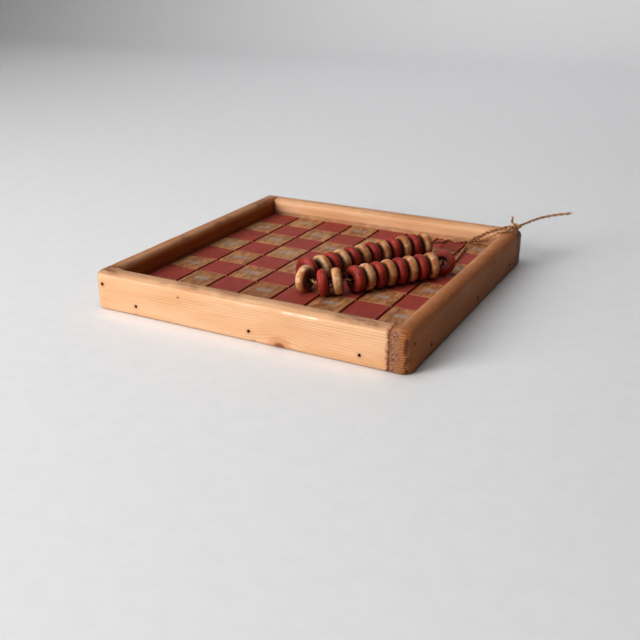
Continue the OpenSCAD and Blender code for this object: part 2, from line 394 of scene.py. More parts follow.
def painted_squares(s, grain, clouds, streaks, fine):
    """Flat red paint, thin along the grain and chipped at the worn edges."""
    paint = s.mix(s.step(clouds, 0.34, 0.66), tone(160, 68, 57), tone(148, 62, 50))
    paint = s.mix(s.step(streaks, 0.5, 0.75, 0.0, 0.45), paint, tone(116, 46, 36))
    paint = s.mix(s.step(fine, 0.55, 0.85, 0.0, 0.3), paint, tone(170, 88, 72))
    flaking = s.step(s.noise(grain, 0.8, 4.0, 0.7), 0.36, 0.62, 0.1, 0.7)
    return s.mix(s.math("MULTIPLY", s.number("wear"), flaking), paint, tone(170, 112, 72))


def board_material():
    """Painted and bare squares on one board, parted by kerfs: dark red-brown ones along the grain,
    and ones across it painted pale, a painted highlight for their lit far walls; the board's sawn
    sides share that pale colour.
    """
    s = Shader("board_paint")
    grain = s.vector("grain")
    square = s.node("SeparateXYZ", {0: s.vector("square")}).outputs
    kerf = s.node("SeparateXYZ", {0: s.vector("kerf")}).outputs
    streaks = s.noise(s.place(grain, (0.05, 0.7, 0.7)), 1.0, 5.0, 0.62, 0.4)
    clouds = s.noise(s.place(grain, (0.05, 0.12, 0.12)), 1.0, 3.0, 0.55)
    fine = s.noise(grain, 1.3, 4.0, 0.65)
    bare = bare_squares(s, grain, square, clouds, streaks, fine)
    paint = painted_squares(s, grain, clouds, streaks, fine)
    top = s.mix(s.step(square[2], 0.3, 0.7), bare, paint)
    # painted shade beside the kerfs that run along the grain, and along the left and right rails
    top = s.mix(s.number("shade_and_grime"), top, tone(104, 40, 22))
    cut = s.mix(s.step(fine, 0.35, 0.7), tone(186, 78, 40), tone(156, 58, 30))
    colour = s.mix(s.step(kerf[0], 0.08, 0.3), top, cut)
    # painted highlight: kerfs across the grain are pale, as their far walls are when lit; the
    # board's sawn sides share the colour
    lit_kerf_and_sawn_side = s.mix(s.step(fine, 0.3, 0.6), tone(196, 140, 104), tone(160, 98, 68))
    colour = s.mix(s.step(kerf[1], 0.03, 0.14, 0.0, 0.8), colour, lit_kerf_and_sawn_side)
    rough = s.step(fine, 0.3, 0.7, 0.5, 0.66)
    relief = s.math("ADD", streaks, s.math("MULTIPLY", fine, 0.5))
    return s.done(colour, rough, s.bump(relief, 0.0001), {"Specular IOR Level": 0.35})


def checker_material(name, light, dark, streak, shine):
    """Turned wood, waxed or stained: light and dark patches with darker streaks along the grain."""
    s = Shader(name)
    grain = s.vector("grain")
    clouds = s.noise(s.place(grain, (0.06, 0.16, 0.16)), 1.0, 3.0, 0.55)
    streaks = s.noise(s.place(grain, (0.08, 0.5, 0.5)), 1.0, 4.0, 0.6, 0.3)
    patches = s.noise(s.place(grain, (0.12, 0.12, 0.12), (9, 0, 0)), 1.0, 2.0, 0.5)
    specks = s.noise(s.place(grain, (0.5, 1.8, 1.8)), 1.0, 3.0, 0.6)
    colour = s.mix(s.step(clouds, 0.38, 0.62), light, dark)
    colour = s.mix(s.step(patches, 0.44, 0.6, 0.0, 0.75), colour, streak)
    colour = s.mix(s.step(streaks, 0.46, 0.7, 0.0, 0.35), colour, streak)
    colour = s.mix(s.step(specks, 0.55, 0.72, 0.0, 0.4), colour, streak)
    colour = s.mix(s.number("shade"), colour, dark, "MULTIPLY")
    # painted shade on the flat faces and in the hole
    colour = s.mix(s.number("shade_and_grime"), colour, tone(54, 17, 6))
    rough = s.step(clouds, 0.3, 0.7, shine, shine + 0.14)
    relief = s.math("ADD", streaks, s.math("MULTIPLY", specks, 0.6))
    return s.done(colour, rough, s.bump(relief, 0.00005), {"Specular IOR Level": 0.32})


def jute_material():
    """Golden brown jute: long fibres that lie along each ply, with painted shade where the plies
    meet and inside the checkers' holes.
    """
    s = Shader("jute")
    strand = s.vector("strand")
    fibres = s.noise(s.place(strand, (0.22, 2.0, 2.0)), 1.0, 4.0, 0.65)
    lengths = s.noise(s.place(strand, (0.05, 0.2, 0.2)), 1.0, 3.0, 0.5)
    colour = s.mix(s.step(lengths, 0.35, 0.65), tone(226, 174, 118), tone(200, 144, 88))
    colour = s.mix(s.step(fibres, 0.35, 0.6, 0.75, 0.0), colour, tone(164, 104, 56))
    colour = s.mix(s.step(fibres, 0.58, 0.8, 0.0, 0.7), colour, tone(248, 218, 170))
    # painted shade where the plies meet and inside the checkers' holes
    colour = s.mix(s.number("shade_and_grime"), colour, tone(88, 46, 22))
    sheen = {"Sheen Weight": 0.2, "Sheen Roughness": 0.5}
    return s.done(colour, 0.8, s.bump(fibres, 0.00022), sheen)


def iron_material():
    """Dull dark nail iron with a little brown rust."""
    s = Shader("nail_iron")
    place = s.place(s.node("TexCoord", {}).outputs["Object"], (1000, 1000, 1000))
    rust = s.noise(place, 1.6, 4.0, 0.65)
    colour = s.mix(s.step(rust, 0.4, 0.65), tone(42, 37, 35), tone(72, 42, 27))
    rough = s.step(rust, 0.3, 0.7, 0.5, 0.8)
    return s.done(colour, rough, s.bump(rust, 0.0001), {"Metallic": 0.55})


def floor_material():
    """A pale table top with a faint mottle."""
    s = Shader("pale_floor")
    mottle = s.noise(s.node("TexCoord", {}).outputs["Object"], 60.0, 3.0, 0.6)
    colour = s.mix(s.step(mottle, 0.4, 0.65), (0.80, 0.795, 0.80, 1), (0.78, 0.78, 0.79, 1))
    return s.done(colour, 0.55)


# ---------------------------------------------------------------- rails

def drop(distance, radius=TOP_ROUND):
    """How far a round-over lowers the surface at a distance in from its edge."""
    inside = np.clip(radius - distance, 0, radius)
    return radius - np.sqrt(radius ** 2 - inside ** 2)


def rail_top(x, y):
    """Height of the front rail's top at a plan point."""
    from_end, from_front = x + HALF_OUT, y + HALF_OUT
    outer = np.minimum(from_end, from_front)
    near = np.maximum(CORNER_ROUND - np.stack([from_end, from_front]), 0)
    in_corner = (near > 0).all(axis=0)
    outer = np.where(in_corner, CORNER_ROUND - np.hypot(near[0], near[1]), outer)
    centre = HALF_IN - INNER_PATH
    inner = np.where(np.abs(x) < centre, -HALF_IN - y,
                     np.hypot(np.abs(x) - centre, y + centre) - INNER_PATH)
    return RAIL_H - np.maximum(drop(outer), drop(np.maximum(inner, 0)))


def joint_steps(length, pitch):
    """Distances from a butt joint, close together near it and then about pitch apart."""
    close = np.array([0, 0.12, 0.3, 0.6, 1.1])
    return np.concatenate([close, np.linspace(close[-1], length, round(length / pitch) + 1)[1:]])


def rail_stations():
    """Plan points round the front rail: on its outer face, the way inwards there, and on its
    inner face. They lie square across the rail from a little past its corner on."""
    end_run = joint_steps(HALF_OUT - CORNER_ROUND - HALF_IN, 1.1)
    outer = [(-HALF_OUT, -HALF_IN - d) for d in end_run]
    inward = [(1.0, 0.0)] * len(end_run)
    middle = CORNER_ROUND - HALF_OUT
    for a in np.linspace(math.pi, 1.5 * math.pi, 14)[1:-1]:
        outer.append((middle + CORNER_ROUND * math.cos(a), middle + CORNER_ROUND * math.sin(a)))
        inward.append((-math.cos(a), -math.sin(a)))
    for x in FRONT_HIGH[0] - joint_steps(FRONT_HIGH[0] - middle, 1.4)[::-1]:
        outer.append((x, -HALF_OUT))
        inward.append((0.0, 1.0))
    outer, inward = np.array(outer), np.array(inward)
    travelled = distance_along(outer)
    square_on = 25 - HALF_IN
    straight = outer[:, 1] == -HALF_OUT
    share = travelled / np.interp(square_on, outer[straight, 0], travelled[straight])
    inner_x = np.where(share < 1, -HALF_IN + share * (square_on + HALF_IN), outer[:, 0])
    return outer, inward, np.stack([inner_x, np.full(len(inner_x), -HALF_IN)], axis=1)


def rail_grid():
    """The front rail's ideal surface: one loop of points across the rail at each station."""
    outer, inward, inner = rail_stations()
    columns = []

    def add(plan, height):
        height = np.broadcast_to(height, len(plan))
        columns.append(np.column_stack([plan, height]))

    under = outer + BOTTOM_ROUND * inward
    for t in np.linspace(0, 1, 9)[:-1]:
        add(inner + t * (under - inner), 0.0)
    for a in np.linspace(0, math.pi / 2, 6)[:-1]:
        add(outer + BOTTOM_ROUND * (1 - math.sin(a)) * inward, BOTTOM_ROUND * (1 - math.cos(a)))
    for z in np.linspace(BOTTOM_ROUND, RAIL_H - TOP_ROUND, 25)[:-1]:
        add(outer, z)
    for a in np.linspace(0, math.pi / 2, 10)[:-1]:
        plan = outer + TOP_ROUND * (1 - math.cos(a)) * inward
        add(plan, rail_top(*plan.T))
    flat = outer + TOP_ROUND * inward
    round_share = TOP_ROUND / (HALF_OUT - HALF_IN - TOP_ROUND)
    flat_steps = np.linspace(0, 1 - round_share, 8)[:-1]
    round_steps = 1 - round_share * (1 - np.sin(np.linspace(0, math.pi / 2, 10)))
    for t in np.concatenate([flat_steps, round_steps]):
        plan = flat + t * (inner - flat)
        add(plan, rail_top(*plan.T))
    crest = rail_top(*inner.T)
    for t in np.linspace(0, 1, 21)[1:-1]:
        add(inner, crest * (1 - t))
    return np.stack(columns, axis=1)


def rail_wear(points, seed):
    """Depth worn off a rail at each point: an uneven surface, edge dents and eased joints."""
    rng = np.random.default_rng(seed)
    count = 26
    along = rng.uniform(-HALF_OUT, FRONT_HIGH[0], count)
    edge = rng.integers(0, 3, count)
    y = np.array([-HALF_OUT + 1.4, -HALF_IN - 1.4, -HALF_OUT + 0.4])[edge]
    z = np.array([RAIL_H - 1.4, RAIL_H - 1.4, 0.6])[edge]
    centres = np.column_stack([along, y, z])
    depth = dents(points, centres, rng.uniform(1.0, 3.4, count), rng.uniform(0.12, 0.5, count))
    corner = np.array([[1.6, 1.6, 0.5], [2, 2, RAIL_H - 2], [0.4, 5, 9]]) - (HALF_OUT, HALF_OUT, 0)
    depth += dents(points, corner, (3.2, 2.4, 3.0), (0.8, 0.4, 0.25))
    uneven = 0.08 + ripple(points, 42, 0.06, seed + 1) + ripple(points, 8, 0.02, seed + 2)
    depth += np.maximum(uneven, 0)
    to_joint = np.minimum(FRONT_HIGH[0] - points[:, 0], np.where(
        points[:, 0] < -HALF_IN, -HALF_IN - points[:, 1], HALF_OUT))
    return depth + 0.24 * np.exp(-np.maximum(to_joint, 0) / 0.35)


def nail_places(node):
    """Where a set's nail heads lie on the front face: (x, z) of each."""
    points = vertex_points(frame["nodes"][node].data)
    heads = points[points[:, 1] < -HALF_OUT + 2.0]
    groups = {}
    for x, _, z in heads:
        nail_x = next((known for known in groups if abs(known - x) < 3), x)
        groups.setdefault(nail_x, []).append((x, z))
    return [tuple((np.min(g, axis=0) + np.max(g, axis=0)) / 2) for g in groups.values()]


def pit_cutter(places, seed):
    """The pits left where nails were punched below the face, as one object to cut with."""
    rng = np.random.default_rng(seed)
    sides, points, faces = 20, [], []
    profile = [(1.85, -1.0), (1.7, 0.05), (1.4, 0.35), (1.2, 1.2), (1.1, 2.3)]
    angles = np.arange(sides) * 2 * math.pi / sides
    for x, z in places:
        first = len(points)
        ragged = 1 + 0.08 * np.cos(2 * angles + rng.uniform(0, 6)) + 0.03 * rng.normal(size=sides)
        for radius, deep in profile:
            for a, wide in zip(angles, radius * ragged):
                points.append((x + wide * math.cos(a), deep - HALF_OUT, z + wide * math.sin(a)))
        faces += capped_tube(first, len(profile), sides)
    return mesh_object("pit_cutter", points, faces)


def carve(piece, cutter):
    """Cuts one object out of another for good."""
    cut = piece.modifiers.new("pits", "BOOLEAN")
    cut.object = cutter
    cut.solver = "EXACT"
    bpy.context.view_layer.update()
    carved = piece.evaluated_get(bpy.context.evaluated_depsgraph_get())
    mesh = bpy.data.meshes.new_from_object(carved)
    piece.modifiers.clear()
    piece.data = mesh
    bpy.data.objects.remove(cutter)


def grain_figure(points, knots):
    """Points drawn in towards each knot, so that the grain parts and flows round it."""
    figure = points.copy()
    for along, up, size in knots:
        away = points - np.array([along, 0, up])
        reach = np.exp(-(away[:, 0] / (3.4 * size)) ** 2 - (away[:, 2] / (2.6 * size)) ** 2)
        figure[:, 2] -= 0.8 * away[:, 2] * reach
    return figure


def rail_shade_and_grime(points, normals, pits, handled, seed):
    """How dark a rail is at each point: grime at its joints, round its nails and on its handled top,
    painted shade on the walls of the nail pits, and darker towards the bottom and along the foot of
    the inner face.
    """
    to_joint = np.minimum(FRONT_HIGH[0] - points[:, 0], np.where(
        points[:, 0] < -HALF_IN + 1, np.abs(-HALF_IN - points[:, 1]), HALF_OUT))
    shade_and_grime = 0.8 * np.exp(-np.maximum(to_joint, 0) / 0.9)
    stain_width = 2.6 + ripple(points, 6, 1.4, seed + 8) + ripple(points, 2, 0.6, seed + 9)
    shade_and_grime += 0.55 * smoothstep(stain_width - to_joint, -1, 1) * (points[:, 1] < -HALF_OUT + 3)
    # painted shade on each pit's walls, and a stain round the pit
    for x, z in pits:
        away = np.hypot(points[:, 0] - x, points[:, 2] - z)
        inside = (points[:, 1] < -HALF_OUT + 4) & (points[:, 1] > -HALF_OUT + 0.25)
        shade_and_grime += np.where(inside & (away < 2.4), 0.95, 0.4 * np.exp(-(away / 2.6) ** 2))
    top = smoothstep(normals[:, 2], 0.45, 0.95)
    cloud = ripple(points, 60, 0.7, seed + 5) + ripple(points, 14, 0.4, seed + 6)
    patches = smoothstep(cloud, -0.3, 1.1)
    ends = smoothstep(np.abs(points[:, 0]), 70, 165)
    shade_and_grime += handled * top * (0.14 + 0.3 * patches + 0.16 * ends)
    inner_edge = np.exp(-((points[:, 1] + HALF_IN + 3.0) / 2.6) ** 2) * (points[:, 2] > RAIL_H - 6)
    shade_and_grime += handled * inner_edge * (0.15 + 0.35 * patches)
    # darker towards the bottom
    shade_and_grime += 0.5 * np.exp(-points[:, 2] / 0.9)
    # darker along the foot of the inner face, where it meets the board
    inner_foot = (points[:, 1] > -HALF_IN - 1) & (points[:, 2] < BOARD_T + 5)
    shade_and_grime += np.where(inner_foot, 0.45, 0)
    return np.clip(shade_and_grime, 0, 0.95)


def rail_browning_and_shade(points, outside, inside):
    """How much browner and darker the wood is at each point: one value outside, another on the inner
    face, partly real browning and partly painted shade on the faces that the light misses, and less
    along the crest that hands have rubbed."""
    inner = smoothstep(points[:, 1], -HALF_IN - 5, -HALF_IN - 0.5)
    crest = np.exp(-((points[:, 1] + HALF_IN + 5.5) / 3.5) ** 2) * (points[:, 2] > RAIL_H - 4)
    return (outside + (inside - outside) * inner) * (1 - 0.4 * crest)


def rail_polish(points, runs):
    """Where the varnish on a rail's outer edge still shines: runs are (start, stop, shine)."""
    edge = np.exp(-((points[:, 1] + HALF_OUT - 0.5) / 1.5) ** 2) * (points[:, 2] > RAIL_H - 12)
    streaks = 0.75 + 0.25 * np.clip(ripple(points * (0.4, 1, 1), 3, 1.0, 41), -1, 1)
    shine = np.full(len(points), 0.02)
    for start, stop, most in runs:
        run = smoothstep(points[:, 0], start - 5, start + 8)
        run -= smoothstep(points[:, 0], stop - 8, stop + 5)
        shine += most * edge * run * streaks
    return shine


def build_rail(turns, seed, knots, browning_and_shade, handled, polished):
    """One rail, shaped at the front and turned to its side of the tray. Knots are (along, up,
    size), aged is (outside, inside), browning with painted shade on the faces that the light misses,
    and polished the runs of its outer edge that still shine."""
    grid = rail_grid()
    points = grid.reshape(-1, 3)
    points = points - outward_normals(grid) * rail_wear(points, seed)[:, None]
    rail = mesh_object(RAILS[turns] + "_pine", points, capped_tube(0, *grid.shape[:2]))
    carve(rail, pit_cutter(PITS, seed + 7))
    mesh = rail.data
    points, normals = vertex_points(mesh), vertex_normals(mesh)
    store(mesh, "grain", points + (0, HALF_OUT, 0))
    store(mesh, "figure", grain_figure(points, knots) + (FIGURE_SHIFT * seed, HALF_OUT, 0))
    store(mesh, "end", smoothstep(-normals[:, 0], 0.35, 0.8))
    store(mesh, "shade_and_grime", rail_shade_and_grime(points, normals, PITS, handled, seed))
    store(mesh, "browning_and_shade", rail_browning_and_shade(points, *browning_and_shade))
    store(mesh, "polish", rail_polish(points, polished))
    turned = quarter_turns(points, turns) * MM
    mesh.vertices.foreach_set("co", turned.ravel())
    mesh.update()
    material = pine_material(RAILS[turns] + "_pine", knots)
    finish_piece(rail, material, "rail_pine", RAILS[turns])


PITS = nail_places("board_nails_set") + nail_places("corner_nails_set")
# The (outside, inside) darkening pairs are partly painted shade: the right rail's outer face and the
# left rail's inner face, which the window light misses, are darkest.
WOOD = {
    "front_rail": {"knots": [(-64.5, 27.7, 1.1), (41.0, 1.0, 6.5)], "browning_and_shade": (0.0, 0.3),
                   "handled": 1.3, "polished": [(-4, 20, 0.25), (42, 80, 0.75)]},
    "right_rail": {"knots": [(58.0, 30.0, 4.0)], "browning_and_shade": (0.88, 0.9),
                   "handled": 0.6, "polished": [(-40, -10, 0.3)]},
    "back_rail": {"knots": [(-96.0, 12.0, 5.0), (22.0, 31.0, 1.6)], "browning_and_shade": (0.4, 0.0),
                  "handled": 0.2, "polished": [(20, 70, 0.3)]},
    "left_rail": {"knots": [(15.0, 8.0, 2.2), (104.0, 24.0, 5.0)], "browning_and_shade": (0.6, 1.0),
                  "handled": 1.0, "polished": [(-20, 40, 0.3)]},
}


# ---------------------------------------------------------------- board

def square_stops():
    """Where the board's grid lines lie along either side: close together at the kerfs' edges.
    Each is a place, how far it is from its square's nearest edge, and its square's number, or
    -1 on a kerf's floor."""
    stops = []
    low, high = BOARD_LOW[0], BOARD_HIGH[0]
    offsets = np.array([0, 0.1, 0.22, 0.4, 0.7, 1.1, 1.7, 2.6])
    for number in range(SQUARES):
        first = low if number == 0 else number * SQUARE - HALF_IN + KERF_W / 2
        last = high if number == SQUARES - 1 else (number + 1) * SQUARE - HALF_IN - KERF_W / 2
        inside = np.linspace(first + offsets[-1], last - offsets[-1], 18)[1:-1]
        for place in np.concatenate([first + offsets, inside, (last - offsets)[::-1]]):
            stops.append((place, min(place - first, last - place), number))
        if number < SQUARES - 1:
            for place in (last + 0.06, last + KERF_W / 2, last + KERF_W - 0.06):
                stops.append((place, 0.0, -1))
    return np.array(stops)


def board_top(stops):
    """The board's upper surface on the grid of stops, with how worn each point is."""
    place, edge, number = stops.T
    x, y = np.meshgrid(place, place, indexing="ij")
    from_x, from_y = np.meshgrid(edge, edge, indexing="ij")
    along_y = np.broadcast_to(number[:, None] < 0, x.shape)
    along_x = np.broadcast_to(number[None, :] < 0, x.shape)
    cut = along_x | along_y
    flat = np.column_stack([x.ravel(), y.ravel(), np.zeros(x.size)])
    eased = 0.3 * np.clip(1 - np.minimum(from_x, from_y) / 0.5, 0, 1) ** 2
    chips = np.clip(ripple(flat, 4.5, 1.0, 11) + ripple(flat, 1.9, 0.8, 12) - 0.75, 0, 1.2)
    chips = chips.reshape(x.shape) * (0.3 * np.exp(-from_y / 0.6) + 0.15 * np.exp(-from_x / 0.5))
    swell = (0.05 + ripple(flat, 70, 0.03, 13) + ripple(flat, 7, 0.012, 14)).reshape(x.shape)
    floor = 0.12 * ripple(flat, 5, 1.0, 15).reshape(x.shape)
    depth = np.where(cut, KERF_DEPTH + np.abs(floor), eased + chips + np.maximum(swell, 0))
    edge_wear = np.exp(-from_x / 0.8) + 1.4 * np.exp(-(from_y / 0.55) ** 2)
    wear = np.where(cut, 0, np.clip(edge_wear + 2.2 * chips, 0, 1.4))
    # painted shade on the squares' edges beside the kerfs that run along the grain, and along the
    # left and right rails
    shade_and_grime = np.where(cut, 0, 0.85 * np.exp(-(from_x / 0.6) ** 2))
    # kerfs along the grain, then kerfs across it, which get a painted highlight
    kerf = np.stack([along_y & ~along_x, along_x], axis=2).astype(float)
    return np.stack([x, y, BOARD_T - depth], axis=2), kerf, wear, shade_and_grime


def build_board():
    """The board: its upper surface, straight sides down from its rim, and a flat underside."""
    stops = square_stops()
    count = len(stops)
    top, kerf, wear, shade_and_grime = board_top(stops)
    points = top.reshape(-1, 3)
    faces = grid_quads(count, count)
    border = ([(i, 0) for i in range(count)] + [(count - 1, j) for j in range(1, count)]
              + [(i, count - 1) for i in range(count - 2, -1, -1)]
              + [(0, j) for j in range(count - 2, 0, -1)])
    rim = [i * count + j for i, j in border]
    below = len(points) + np.arange(len(rim))
    points = np.concatenate([points, points[rim] * (1, 1, 0)])
    for here in range(len(rim)):
        after = (here + 1) % len(rim)
        faces.append((rim[here], rim[after], int(below[after]), int(below[here])))
    faces.append(tuple(int(b) for b in below))
    board = mesh_object("playing_board_squares", points, faces)
    unworn = np.zeros(len(rim))
    column = np.clip(np.floor((points[:, 0] + HALF_IN) / SQUARE), 0, SQUARES - 1)
    row = np.clip(np.floor((points[:, 1] + HALF_IN) / SQUARE), 0, SQUARES - 1)
    u = points[:, 0] + HALF_IN - (column + 0.5) * SQUARE
    v = points[:, 1] + HALF_IN - (row + 0.5) * SQUARE
    store(board.data, "square", np.column_stack([u, v, (column + row) % 2]))
    kerf = np.pad(kerf.reshape(-1, 2), ((0, len(rim)), (0, 1)))
    kerf[-len(rim):, 1] = 1
    store(board.data, "kerf", kerf)
    store(board.data, "wear", np.concatenate([wear.ravel(), unworn]))
    store(board.data, "shade_and_grime", np.concatenate([shade_and_grime.ravel(), unworn]))
    store(board.data, "grain", points[:, [1, 0, 2]] + (column * 3.0)[:, None])
    shade = np.random.default_rng(8).uniform(0, 0.6, (SQUARES, SQUARES))
    shade += np.linspace(0, 0.4, SQUARES)
    store(board.data, "shade", shade[column.astype(int), row.astype(int)])
    finish_piece(board, board_material(), "board_paint", "playing_board", sharp=35)


# ---------------------------------------------------------------- checkers

def ring_frame(node):
    """Centre, axis and two directions across it of a CAD checker, with its sizes: outer radius,
    hole radius and thickness."""
    mesh = frame["nodes"][node].data
    spread = np.zeros((3, 3))
    for face in mesh.polygons:
        normal = np.array(face.normal)
        spread += face.area * np.outer(normal, normal)
    values, vectors = np.linalg.eigh(spread)
    axis = vectors[:, 2] if values[2] - values[1] > values[1] - values[0] else vectors[:, 0]
    points = vertex_points(mesh)
    centre = (points.min(axis=0) + points.max(axis=0)) / 2
    along = (points - centre) @ axis
    radius = np.linalg.norm(points - centre - np.outer(along, axis), axis=1)
    side = unit(np.cross(axis, (0, 0, 1)))
    return centre, axis, side, np.cross(axis, side), radius.max(), radius.min(), np.ptp(along)


def ring_outline(outer, hole, thick, rim_round=4.6, hole_round=1.6):
    """Closed section of a checker as (radius, along) points, from the hole round the outside."""
    half = thick / 2
    turn = np.linspace(0, math.pi / 2, 12)
    small = np.linspace(0, math.pi / 2, 6)
    side = [(hole + hole_round * (1 - math.cos(a)), half - hole_round * (1 - math.sin(a)))
            for a in small]
    flat = np.linspace(hole + hole_round, outer - rim_round, 4)[1:-1]
    side += [(r, half) for r in flat]
    side += [(outer - rim_round * (1 - math.sin(a)), half - rim_round * (1 - math.cos(a)))
             for a in turn]
    wall = np.linspace(-(half - hole_round), half - hole_round, 5)[1:-1]
    return [(hole, a) for a in wall] + side + [(r, -a) for r, a in side[::-1]]


def build_checker(node, number, material, slot, face_shade, fade):
    """A turned ring with small irregularities, in the place of its CAD node. Grime is how much
    painted shade its flat faces get, where they face its neighbours on the twine, and fade how much
    darker each one is, going along the twine."""
    centre, axis, across, up, outer, hole, thick = ring_frame(node)
    rng = np.random.default_rng(100 + number)
    outline = np.array(ring_outline(outer, hole, thick))
    sides = 72
    angles = np.arange(sides) * 2 * math.pi / sides
    local = np.array([[(r * math.cos(a), r * math.sin(a), w) for r, w in outline] for a in angles])
    normals = outward_normals(local)
    local = local.reshape(-1, 3)
    count = 5
    spots = local[rng.integers(0, len(local), count)]
    depth = dents(local, spots, rng.uniform(0.8, 2.2, count), rng.uniform(0.05, 0.22, count))
    depth += np.maximum(0.06 + ripple(local, 15, 0.05, 200 + number), 0)
    local = local - normals * depth[:, None]
    points = centre + local @ np.stack([across, up, axis])
    ring = mesh_object(node + "_ring", points, grid_quads(sides, len(outline), True, True))
    radius = np.hypot(local[:, 0], local[:, 1])
    turn = rng.uniform(0, math.pi)
    lie = np.column_stack([local[:, 0] * math.cos(turn) + local[:, 1] * math.sin(turn),
                           local[:, 1] * math.cos(turn) - local[:, 0] * math.sin(turn), local[:, 2]])
    store(ring.data, "grain", lie[:, [2, 0, 1]] + rng.uniform(-400, 400, 3))
    # painted shade on the flat faces, deepening towards the hole, and in the hole itself
    face = smoothstep(np.abs(local[:, 2]), 0.33 * thick, 0.49 * thick)
    face *= face_shade + 0.25 * smoothstep(radius, outer - 3, hole + 1)
    store(ring.data, "shade_and_grime", np.maximum(face, 0.95 * smoothstep(radius, hole + 2.0, hole)))
    from_turn = abs(int(node.split("_")[-1]) - TURN_PLACE)
    store(ring.data, "shade", np.full(len(local), fade * from_turn + rng.uniform(0, 0.1)))
    finish_piece(ring, material, slot, node)


def build_checkers():
    """The 24 rings: waxed bare wood and red paint."""
    natural = checker_material("natural_checker_wood", tone(228, 192, 152), tone(206, 164, 120),
                               tone(180, 108, 56), 0.44)
    red = checker_material("red_checker_paint", tone(178, 68, 54), tone(164, 58, 45),
                           tone(136, 42, 32), 0.42)
    for number, node in enumerate(sorted(CHECKERS)):
        if node.startswith("red"):
            build_checker(node, number, red, "red_checker_paint", 0.28, 0.015)
        else:
            build_checker(node, number, natural, "natural_checker_wood", 0.64, 0.08)


# ---------------------------------------------------------------- nails

def build_nails(node, name, material):
    """Finishing nails with cupped heads, one in each pit on all four sides."""
    profile = [(0.02, 0.3), (0.35, 0.24), (0.62, 0.08), (0.86, 0.0), (1.03, 0.07), (1.09, 0.3),
               (1.08, 0.8), (0.86, 1.25), (0.8, 1.6), (0.8, NAIL_LENGTH - 3),
               (0.5, NAIL_LENGTH - 1.2), (0.05, NAIL_LENGTH)]
    sides = 16
    angles = np.arange(sides) * 2 * math.pi / sides
    rng = np.random.default_rng(31)
    points, faces = [], []
    for turns in range(4):
        for x, z in nail_places(node):
            lean = rng.uniform(-0.02, 0.02, 2)
            first = len(points)
            nail = np.array([(x + r * math.cos(a) + lean[0] * min(d, 1), NAIL_SINK - HALF_OUT + d,
                              z + r * math.sin(a) + lean[1] * min(d, 1))
                             for r, d in profile for a in angles])
            points.extend(quarter_turns(nail, turns))
            faces += capped_tube(first, len(profile), sides)
    nails = mesh_object(name, points, faces)
    finish_piece(nails, material, "nail_iron", node)


# ---------------------------------------------------------------- twine

def twine_course():
    """Centres of the CAD twine's sections, walked from its loose tip to its tied end."""
    work = bmesh.new()
    work.from_mesh(frame["nodes"]["twine"].data)
    bmesh.ops.remove_doubles(work, verts=work.verts, dist=0.01 * MM)
    tip = max(work.verts, key=lambda v: v.co.x + v.co.y).co.copy()
    across_tip = 2.6 * MM
    layer = {v for v in work.verts if (v.co - tip).length < across_tip}
    seen, centres = set(layer), []
    while layer:
        total = sum((v.co for v in sorted(layer, key=lambda v: v.index)), Vector())
        centres.append(np.array(total) / len(layer) / MM)
        layer = {e.other_vert(v) for v in layer for e in v.link_edges} - seen
        seen |= layer
    work.free()
    return np.array(centres)


def resample(points, step):
    """Points evenly spaced along a smooth curve through the given ones."""
    ends = np.concatenate([points[:1], points, points[-1:]])
    fine = []
    a, b, c, d = ends[:-3], ends[1:-2], ends[2:-1], ends[3:]
    for t in np.linspace(0, 1, 9)[:-1]:
        bend = (2 * a - 5 * b + 4 * c - d) + t * (3 * (b - c) + d - a)
        fine.append(b + t / 2 * ((c - a) + t * bend))
    curve = np.concatenate([np.stack(fine, axis=1).reshape(-1, 3), points[-1:]])
    travelled = distance_along(curve)
    even = np.arange(0, travelled[-1], step)
    return np.stack([np.interp(even, travelled, values) for values in curve.T], axis=1)


def carried_frames(points):
    """Tangents and two sideways directions along a path, carried along it without twisting."""
    tangents = unit(np.gradient(points, axis=0))
    side = np.cross(tangents[0], (0, 0, 1))
    sides = []
    for tangent in tangents:
        side = unit(side - (side @ tangent) * tangent)
        sides.append(side)
    sides = np.array(sides)
    return tangents, sides, np.cross(tangents, sides)


def to_checker(points):
    """How far each point is from the nearest checker's centre."""
    centres = np.array([np.add(*box_mm(n)) / 2 for n in CHECKERS])
    return np.linalg.norm(points[:, None] - centres[None], axis=2).min(axis=1)


def in_holes(points):
    """1 for points of the twine inside a checker, fading to 0 just outside it."""
    return smoothstep(to_checker(points), 8.0, 5.0)


